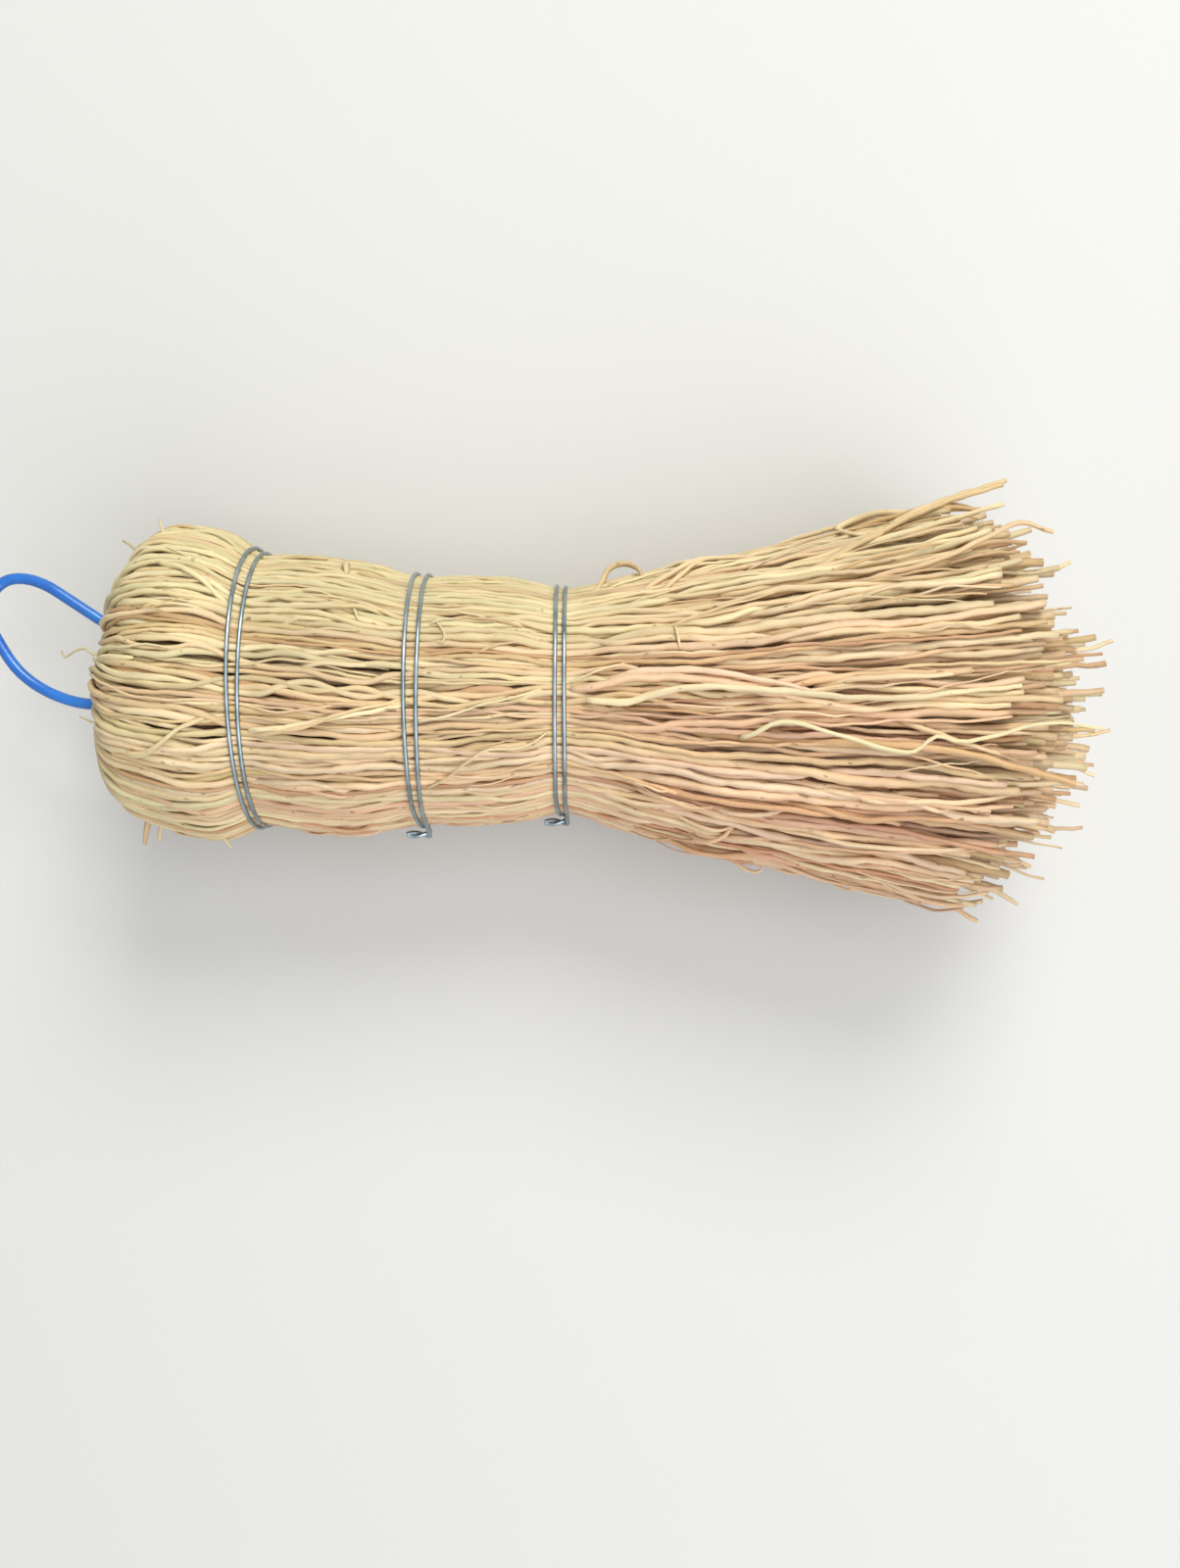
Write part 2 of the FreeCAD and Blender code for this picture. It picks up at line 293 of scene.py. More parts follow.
radiusOf = np.clip(radiusOf, *roots["radiusRange"])
thin = dice.random(rootCount) < roots["thinShare"]
radiusOf[thin] = dice.uniform(*roots["thinRange"], thin.sum())
radiusOf[~outer] *= roots["innerThinner"]
innerRing = dice.uniform(0, 1, rootCount) ** roots["innerCrowding"] * roots["innerEdge"]
ringOf = np.where(outer, 1.0, innerRing)

# Each root's first and last section. The middle of the fan stands out as a low dome, and the
# roots at its sides end sooner
firstOf, lastOf = np.zeros(rootCount, int), np.zeros(rootCount, int)
for i in range(rootCount):
    if not outer[i]:
        firstOf[i] = stationNear(dice.uniform(*roots["innerStart"]))
    elif dice.random() > roots["foldedShares"][layerOf[i]]:
        firstOf[i] = lipEnd + int(dice.uniform(1, 9)) + layerOf[i]
    ring = ringOf[i] - 0.06 * layerOf[i] if outer[i] else ringOf[i]
    tip = bundle["rimX"] - roots["tipInset"] + roots["tipDome"] * (1 - ring**2)
    tip += dice.normal(0, roots["tipScatter"])
    tip -= roots["sideShort"] * (ring * math.cos(angleOf[i])) ** 2
    if dice.random() < roots["shortShare"]:
        shortBy = roots["outerShortBy"] if outer[i] else roots["innerShortBy"]
        tip -= dice.uniform(*shortBy)
    if dice.random() < roots["longShare"]:
        tip += dice.uniform(*roots["longBy"])
    lastOf[i] = stationNear(min(tip, bundle["rimX"] + roots["tipMost"]))

# Where each root would run by itself, in every section: y and z from the axis
gripRun = np.sin(np.pi * np.clip(outlineX / bundle["neckX"], 0, 1)) * (outlineX > 4)
wander = roots["gripWander"] * (1 - 0.5 * nearBand) * (1 - inFan) + roots["fanWander"] * inFan**0.6
lateral = waves(rootCount, [(14, 28, 0.45), (28, 60, 0.65)]) * wander
lateral *= dice.uniform(0.35, 1.5, (rootCount, 1))  # some roots are straight, some wavy
lateral += dice.normal(0, roots["fanDrift"], (rootCount, 1)) * fanRun[None, :]
lateral += dice.normal(0, roots["gripDrift"], (rootCount, 1)) * gripRun[None, :]
inward = waves(rootCount, [(12, 26, 0.5), (26, 55, 0.6)]) * (0.45 * (1 - nearBand) + 1.2 * inFan)
# how far a root may stand out over the outline
proud = np.clip(waves(rootCount, [(16, 40, 0.8), (8, 16, 0.3)]), 0, 1)
proud = proud * (1 - nearBand) * (0.45 + 0.9 * inFan)
proud[:, :lipEnd] = 0
# where they fold, some roots stand out further than others, like fingertips
bulge = np.clip(dice.normal(roots["faceBulge"], roots["faceBulgeSpread"], (rootCount, 1)), 0, 1.8)
bulge *= 1 - 0.8 * np.clip(np.cos(angleOf), 0, 1)[:, None]
onFace = np.clip(1 - np.maximum(outlineX, 0) / 9, 0, 1) * (np.arange(stations) >= lipEnd - 1)
bulge = bulge * onFace[None, :]
proud += bulge

target = np.zeros((rootCount, stations, 2))
for i in range(rootCount):
    if outer[i]:
        depth = radiusOf[i] + roots["layerDepth"] * layerOf[i] + inward[i] * (0.3 + 0.3 * layerOf[i])
        if firstOf[i] > 0:  # comes up from inside
            depth = depth + 3.5 * np.clip(1 - (np.arange(stations) - firstOf[i]) / 6, 0, 1) ** 2
        reach = np.maximum(radiusAt - np.maximum(depth, radiusOf[i] * 0.6), 1.0) + bulge[i]
        reach = reach * (1 - 0.06 * layerOf[i] * inFan * dice.uniform(0.2, 1.0))
    else:
        lateral[i] *= 0.65  # straighter inside
        reach = np.minimum(radiusAt * ringOf[i] + 0.55 * inward[i], radiusAt - 3.4 * (1 - inFan))
    turned = angleOf[i] + lateral[i] / np.maximum(reach, 7.0)
    target[i, :, 0] = reach * np.cos(turned)
    target[i, :, 1] = reach * np.sin(turned) * heightShare

sections = np.arange(stations)[None, :]
present = (sections >= firstOf[:, None]) & (sections <= lastOf[:, None])


def closePairs(place, room):
    found = []
    for s in range(stations):
        who = np.where(present[:, s])[0]
        here = place[who, s]
        apart = ((here[:, None] - here[None, :]) ** 2).sum(-1)
        limit = (radiusOf[who][:, None] + radiusOf[who][None, :] + room) ** 2
        a, b = np.where(np.triu(apart < limit, 1))
        found.append(np.stack([who[a], who[b], np.full(len(a), s)]))
    return np.concatenate(found, axis=1)


def keepInside(place):
    # inside the outline and off the table
    scaled = place / np.stack([np.ones(stations), heightShare], axis=1)[None]
    reach = np.linalg.norm(scaled, axis=2) + 1e-6
    limit = radiusAt[None, :] - radiusOf[:, None] + proud
    place = place * np.minimum(1, limit / reach)[..., None]
    place[..., 1] = np.maximum(place[..., 1], radiusOf[:, None] - axisZ[None, :] + 0.02)
    return place


# Where the roots come to lie. They push each other apart, go round the two legs of the cord and
# stay inside the outline
settling = {
    "steps": 34,
    "quickSteps": 14,
    "searchEvery": 8,
    "searchRoom": 1.0,
    "touch": 0.97,
    "push": 0.42,
    "mostMove": 0.5,
    "outwardMove": 0.035,
    "legRadius": 1.02,
}
legs = [(loop["route"][0][1], loop["route"][0][2]), (loop["route"][-1][1], loop["route"][-1][2])]


def settle(target, steps):
    place = target.copy()
    for step in range(steps):
        if step % settling["searchEvery"] == 0:
            a, b, s = closePairs(place, settling["searchRoom"])
        apart = place[a, s] - place[b, s]
        far = np.linalg.norm(apart, axis=1) + 1e-6
        overlap = np.maximum(settling["touch"] * (radiusOf[a] + radiusOf[b]) - far, 0)
        push = apart * (overlap / far * settling["push"])[:, None]
        total = np.zeros_like(place)
        for k in range(2):
            plus = np.bincount(a * stations + s, push[:, k], rootCount * stations)
            minus = np.bincount(b * stations + s, push[:, k], rootCount * stations)
            total[..., k] = (plus - minus).reshape(rootCount, stations)
        place = place + np.clip(total, -settling["mostMove"], settling["mostMove"])
        reach = np.linalg.norm(place, axis=2, keepdims=True) + 1e-6
        # the outer roots of head and grip are pressed outwards
        pressed = (outer[:, None] & (inFan[None, :] < 0.1))[..., None]
        place = place + place / reach * settling["outwardMove"] * pressed
        for y, z in legs:
            away = place - np.stack([y - axisY, z - axisZ], axis=1)[None]
            distance = np.linalg.norm(away, axis=2) + 1e-6
            room = np.maximum(radiusOf[:, None] + settling["legRadius"] - distance, 0)
            room = room * (sections < lipEnd + 6)
            place = place + away * (room / distance)[..., None]
        place = keepInside(place)
        moved = place - target
        moved[:, 1:-1] = 0.25 * moved[:, :-2] + 0.5 * moved[:, 1:-1] + 0.25 * moved[:, 2:]
        place = target + moved
    return keepInside(place)


place = settle(target, settling["steps"])
reachOf = np.hypot(place[..., 0], place[..., 1] / heightShare[None, :])
depthOf = np.maximum(radiusAt[None, :] - reachOf - radiusOf[:, None], 0)
print("roots settled:", rootCount, "roots in", stations, "sections")


def rootLine(i):
    # the middle line of a root, in the frame, in millimetres
    s = np.arange(firstOf[i], lastOf[i] + 1)
    y, z = place[i, s, 0], place[i, s, 1]
    reach = np.hypot(y, z) + 1e-6
    depth = radiusAt[s] - reach
    x = leanedX(s, y / reach) - np.where(onHead[s], outX[s] * depth, 0)
    shown = np.where(onHead[s], radiusAt[s] - outR[s] * depth, reach)
    line = [x + bundle["faceX"], y / reach * shown + axisY[s], z / reach * shown + axisZ[s]]
    return np.stack(line, axis=1)


def curveThrough(points, spacing):
    # a smooth line through a few points, for single roots
    points = np.array(points, float)
    padded = np.vstack([2 * points[0] - points[1], points, 2 * points[-1] - points[-2]])
    out = []
    for a, b, c, d in zip(padded, padded[1:], padded[2:], padded[3:]):
        steps = max(2, int(np.linalg.norm(c - b) / spacing))
        t = np.linspace(0, 1, steps, endpoint=False)[:, None]
        square, cube = 2 * a - 5 * b + 4 * c - d, 3 * b - a - 3 * c + d
        out.append(0.5 * (2 * b + (c - a) * t + square * t**2 + cube * t**3))
    return np.vstack(out + [points[-1:]])


def tube(line, radius, sides):
    # rings round a line, closed at both ends
    count = len(line)
    radius = np.broadcast_to(radius, (count,))
    along = np.gradient(line, axis=0)
    along /= np.linalg.norm(along, axis=1)[:, None] + 1e-9
    up = np.zeros_like(line)
    guess = np.array([0.0, 0.0, 1.0]) if abs(along[0, 2]) < 0.9 else np.array([0.0, 1.0, 0.0])
    for k in range(count):
        guess = guess - along[k] * guess.dot(along[k])
        guess /= np.linalg.norm(guess) + 1e-9
        up[k] = guess
    across = np.cross(along, up)
    angles = np.arange(sides) * 2 * np.pi / sides
    ring = up[:, None] * np.cos(angles)[None, :, None] + across[:, None] * np.sin(angles)[None, :, None]
    points = (line[:, None] + ring * radius[:, None, None]).reshape(-1, 3)
    k = np.arange(count - 1)[:, None] * sides
    j = np.arange(sides)[None, :]
    nextJ = (j + 1) % sides
    quads = np.stack([k + j, k + nextJ, k + sides + nextJ, k + sides + j], axis=-1).reshape(-1, 4)
    ends = np.stack([line[0] - along[0] * radius[0] * 0.3, line[-1] + along[-1] * radius[-1] * 0.3])
    around, base = np.arange(sides), (count - 1) * sides
    nearCap = np.stack([np.full(sides, len(points)), (around + 1) % sides, around], axis=1)
    farCap = np.stack([np.full(sides, len(points) + 1), base + around, base + (around + 1) % sides], axis=1)
    return np.vstack([points, ends]), quads, np.vstack([nearCap, farCap])


def perPoint(values, count, sides):
    # a value for each ring, given to its points and to the two end points
    values = np.broadcast_to(values, (count,))
    return np.concatenate([np.repeat(values, sides), [values[0], values[-1]]])


def paintedSideShade(points, line, sides):
    # painted shade: each root is mixed towards dark brown on the sides that face into the bundle, where
    # shade falls between the roots
    x = line[:, 0] - bundle["faceX"]
    y, z = axisAt(x)
    outward = np.stack([np.minimum(x - bundle["headRound"], 0), line[:, 1] - y, line[:, 2] - z], axis=1)
    outward /= np.linalg.norm(outward, axis=1)[:, None] + 1e-9
    ring = points[:-2].reshape(len(line), sides, 3) - line[:, None]
    ring /= np.linalg.norm(ring, axis=2)[..., None] + 1e-9
    facing = (ring * outward[:, None]).sum(axis=2)
    most = np.interp(x, [70, 85, 110, 150], [0.45, 0.3, 0.28, 0.18])[:, None]
    amount = most * np.clip((0.25 - facing) / 1.1, 0, 1)
    return np.concatenate([amount.ravel(), [0, 0]])


def addAttribute(mesh, label, values):
    # a number or a vector for each point, which the material reads by its label
    kind, key = ("FLOAT", "value") if values.ndim == 1 else ("FLOAT_VECTOR", "vector")
    layer = mesh.attributes.new(label, kind, "POINT")
    layer.data.foreach_set(key, values.astype(np.float32).ravel())


def buildPiece(name, tubes, material):
    # joins tubes into one mesh, with each root's tone, its blush, its bark and painted shade, and its own
    # length
    allPoints, quads, tris, tones, blushes, shadeAndBarkAmounts, coords = [], [], [], [], [], [], []
    start = 0
    for number, (line, radius, sides, tone, blush, shadeAndBarkAmount) in enumerate(tubes):
        points, faces, caps = tube(line, radius, sides)
        count = len(line)
        around = np.concatenate([np.tile(np.arange(sides) / sides, count), [0, 0]])
        allPoints.append(points)
        quads.append(faces + start)
        tris.append(caps + start)
        tones.append(np.full(len(points), tone))
        blushes.append(perPoint(blush, count, sides))
        shadeAndBarkAmount = perPoint(shadeAndBarkAmount, count, sides) + paintedSideShade(points, line, sides)
        shadeAndBarkAmounts.append(np.minimum(shadeAndBarkAmount, 0.9))
        length = perPoint(lengthAlong(line), count, sides)
        own = np.full(len(points), tone * 211 + number * 1.7)  # a place in the noise for each root
        coords.append(np.stack([length, own, around], axis=1))
        start += len(points)
    quads, tris = np.vstack(quads), np.vstack(tris)
    mesh = bpy.data.meshes.new(name)
    mesh.vertices.add(start)
    mesh.vertices.foreach_set("co", (np.vstack(allPoints) * mm).astype(np.float32).ravel())
    corners = np.concatenate([quads.ravel(), tris.ravel()])
    mesh.loops.add(len(corners))
    mesh.loops.foreach_set("vertex_index", corners.astype(np.int32))
    starts = np.concatenate([np.arange(len(quads)) * 4, len(quads) * 4 + np.arange(len(tris)) * 3])
    mesh.polygons.add(len(starts))
    mesh.polygons.foreach_set("loop_start", starts.astype(np.int32))
    mesh.update(calc_edges=True)
    mesh.validate()
    mesh.polygons.foreach_set("use_smooth", np.ones(len(mesh.polygons), bool))
    addAttribute(mesh, "rootTone", np.concatenate(tones))
    addAttribute(mesh, "rootBlush", np.concatenate(blushes))
    addAttribute(mesh, "rootShadeAndBark", np.concatenate(shadeAndBarkAmounts))
    addAttribute(mesh, "rootCoord", np.concatenate(coords))
    mesh.materials.append(material)
    piece = addObject(name, mesh)
    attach(piece, "root")
    return piece


def hexColor(text):
    # sRGB hex to the linear colour that the shaders take
    values = [int(text[k : k + 2], 16) / 255 for k in (1, 3, 5)]
    return tuple(v / 12.92 if v <= 0.04045 else ((v + 0.055) / 1.055) ** 2.4 for v in values) + (1.0,)


def addNode(tree, kind, links=None, **settings):
    # a node with its settings, its sockets' values by name, and its links
    node = tree.nodes.new(kind)
    for name, value in settings.items():
        if hasattr(node, name):
            setattr(node, name, value)
        else:
            node.inputs[name.replace("_", " ")].default_value = value
    for socket, source in (links or {}).items():
        tree.links.new(source, node.inputs[socket])
    return node


def newMaterial(name, **surface):
    material = bpy.data.materials.new(name)
    material.use_nodes = True
    shader = material.node_tree.nodes["Principled BSDF"]
    for label, value in surface.items():
        shader.inputs[label.replace("_", " ")].default_value = value
    return material, material.node_tree, shader


def setRamp(ramp, stops):
    elements = ramp.color_ramp.elements
    while len(elements) < len(stops):
        elements.new(0.5)
    for element, (position, color) in zip(elements, stops):
        element.position = position
        element.color = hexColor(color)


# Dried plant root, washed and air dried: a matt skin from straw yellow to peach, streaked
# along its length, with small dark specks where hair roots broke off. The skin is mixed towards
# dark brown for painted shade, deeper in the bundle and on the sides of the roots that face
# into it, and for the browner bark of the cut ends.
skin = {
    "streakLength": 9.0,
    "patchLength": 30.0,
    "speckSpacing": 2.4,
    "wrinkleHeight": 0.05,
    "straw": [
        (0.0, "#ccb276"), (0.2, "#dccd9a"), (0.5, "#e9deae"),
        (0.72, "#dcc491"), (0.88, "#e8daae"), (1.0, "#c7a573"),
    ],
    "peach": [
        (0.0, "#d49f79"), (0.2, "#eabf96"), (0.5, "#f3d6b0"),
        (0.72, "#e3b18f"), (0.88, "#efcfb0"), (1.0, "#cc997b"),
    ],
    "blushSpread": 0.17,
    "speck": "#7d5238",
    # dark brown, used for bark and for painted shade
    "barkAndShade": "#74432a",
    "deepShade": 0.75,
    "gripBrowning": 0.12,
    "cutEndBark": 0.28,
}
rootSkin, tree, shader = newMaterial("driedRootSkin", Roughness=0.6, IOR=1.45)
tone, blush, shadeAndBarkAmount, coord = [
    addNode(tree, "ShaderNodeAttribute", attribute_name=label)
    for label in ("rootTone", "rootBlush", "rootShadeAndBark", "rootCoord")
]
ramps = {}
for name in ("straw", "peach"):
    ramp = addNode(tree, "ShaderNodeValToRGB", {"Fac": tone.outputs["Fac"]})
    setRamp(ramp, skin[name])
    ramps[name] = ramp.outputs["Color"]
blushed = {"Factor": blush.outputs["Fac"], "A": ramps["straw"], "B": ramps["peach"]}
body = addNode(tree, "ShaderNodeMix", blushed, data_type="RGBA")
# noises drawn out along each root by its own length, each with the span that it is cut to and
# what that makes: lighter and darker patches and streaks, and how strong the specks are
noises, amounts = {}, {}
for name, size, around, detail, span, made in (
    ("patches", skin["patchLength"], 0.6, 2.0, (0.35, 0.65), (0.88, 1.05)),
    ("streaks", skin["streakLength"], 5.0, 3.0, (0.3, 0.7), (0.84, 1.08)),
    ("specks", skin["speckSpacing"], 4.0, 1.0, (0.7, 0.76), (0.0, 0.65)),
):
    own = {"Vector": coord.outputs["Vector"]}
    stretch = addNode(tree, "ShaderNodeVectorMath", own, operation="MULTIPLY")
    stretch.inputs[1].default_value = (1 / size, 1.0, around)
    stretched = {"Vector": stretch.outputs["Vector"]}
    noise = addNode(tree, "ShaderNodeTexNoise", stretched, Scale=1.0, Detail=detail)
    noises[name] = noise.outputs["Fac"]
    amount = addNode(
        tree,
        "ShaderNodeMapRange",
        {"Value": noises[name]},
        From_Min=span[0],
        From_Max=span[1],
        To_Min=made[0],
        To_Max=made[1],
    )
    amounts[name] = amount.outputs["Result"]
factors = {0: amounts["patches"], 1: amounts["streaks"]}
both = addNode(tree, "ShaderNodeMath", factors, operation="MULTIPLY")
scaled = {"Vector": body.outputs["Result"], "Scale": both.outputs["Value"]}
streaked = addNode(tree, "ShaderNodeVectorMath", scaled, operation="SCALE")
specked = addNode(
    tree,
    "ShaderNodeMix",
    {"Factor": amounts["specks"], "A": streaked.outputs["Vector"]},
    data_type="RGBA",
    B=hexColor(skin["speck"]),
)
# painted shade and bark: the colour is mixed towards dark brown by each point's amount
barkAndShadeMix = addNode(
    tree,
    "ShaderNodeMix",
    {"Factor": shadeAndBarkAmount.outputs["Fac"], "A": specked.outputs["Result"]},
    data_type="RGBA",
    B=hexColor(skin["barkAndShade"]),
)
tree.links.new(barkAndShadeMix.outputs["Result"], shader.inputs["Base Color"])
wrinkle = addNode(tree, "ShaderNodeBump", {"Height": noises["streaks"]}, Strength=0.6)
wrinkle.inputs["Distance"].default_value = skin["wrinkleHeight"] * mm
tree.links.new(wrinkle.outputs["Normal"], shader.inputs["Normal"])


def blushAt(line):
    # straw yellow on the grip's far side, peach in the fan and on the near side
    x = line[:, 0] - bundle["faceX"]
    places = [0, 18, 32, 75, 95, 130, 160]
    middle = np.interp(x, places, [0.2, 0.25, 0.35, 0.38, 0.68, 0.7, 0.45])
    # painted light and shade: across the bundle the far side, which faces the main light, is yellower and
    # the shaded near side pinker
    tilt = np.interp(x, places, [0.15, 0.2, 0.42, 0.42, 0.32, 0.3, 0.1])
    return middle - tilt * np.clip((line[:, 1] - bundle["sideY"]) / 24, -1, 1)


def refine(line, barkAndShade, spacing):
    # closer rings, and the small bends of a dried root
    lengths = lengthAlong(line)
    along = np.linspace(0, lengths[-1], max(4, int(lengths[-1] / spacing)))
    fine = np.stack([np.interp(along, lengths, line[:, k]) for k in range(3)], axis=1)
    smooth(fine, 2)
    fine += waves(3, [(3.5, 7, 0.06), (7, 13, 0.08)], along).T
    return fine, along, np.interp(along, lengths, barkAndShade)


def rootTube(i, sides, spacing):
    # one outer or inner root with its swellings, its bark and its painted shade
    s = np.arange(firstOf[i], lastOf[i] + 1)
    # painted shade: the deeper a root lies under the outline, the darker brown it is, less so in the fan
    barkAndShade = np.clip((depthOf[i, s] - 0.5) / 3.0, 0, 1) * skin["deepShade"] * (1 - 0.8 * inFan[s])
    line, along, barkAndShade = refine(rootLine(i), barkAndShade, spacing)
    x = line[:, 0] - bundle["faceX"]
    # the middle of the grip is a little browner
    onGrip = np.interp(x, [15, 30, 70, 90], [0, skin["gripBrowning"], skin["gripBrowning"], 0])
    barkAndShade = barkAndShade + onGrip * np.clip(1 - ((line[:, 1] - bundle["sideY"] - 6) / 25) ** 2, 0, 1)
    swell = 1 + waves(1, [(2.2, 4, 0.05), (5, 11, 0.07), (14, 30, 0.08)], along)[0]
    swell *= 1 - roots["tipThinner"] * np.clip(1 - (along[-1] - along) / 10, 0, 1)
    swell *= np.interp(x, [80, 125], [1.0, roots["fanThicker"]])
    line[:, 2] = np.maximum(line[:, 2], 1.03 * radiusOf[i] * swell)  # off the table
    blushHere = np.clip(blushAt(line) + dice.normal(0, skin["blushSpread"]), 0, 1)
    barkAndShade[-1] = max(barkAndShade[-1], skin["cutEndBark"])
    return line, radiusOf[i] * swell, sides, dice.random(), blushHere, barkAndShade


# The outer roots in twelve sectors counted from the bottom, the inner ones in three groups
sectors = 12
rings = ((7, 1.1), (6, 1.5), (5, 2.2), (5, 2.4))  # sides and spacing of the rings in each layer
outerTubes = [[] for _ in range(sectors)]
innerTubes = [[] for _ in range(3)]
for i in range(rootCount):
    if outer[i]:
        y, z = place[i, (firstOf[i] + lastOf[i]) // 2]
        fromBottom = (math.atan2(z, y) + math.pi / 2) % (2 * math.pi)
        sector = int((fromBottom / (2 * math.pi) * sectors + 0.5) % sectors)
        outerTubes[sector].append(rootTube(i, *rings[layerOf[i]]))
    else:
        innerTubes[i % 3].append(rootTube(i, 6 if ringOf[i] > 0.55 else 5, 1.6))
for k, tubes in enumerate(outerTubes, 1):
    piece = buildPiece(f"outerRoots{k:02d}", tubes, rootSkin)
    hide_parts(f"outer_roots_{k:02d}")
for k, tubes in enumerate(innerTubes):
    piece = buildPiece(f"innerRoots{k + 1}", tubes, rootSkin)
    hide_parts(f"inner_tips_{2 * k + 1}", f"inner_tips_{2 * k + 2}")
print("bundle built")

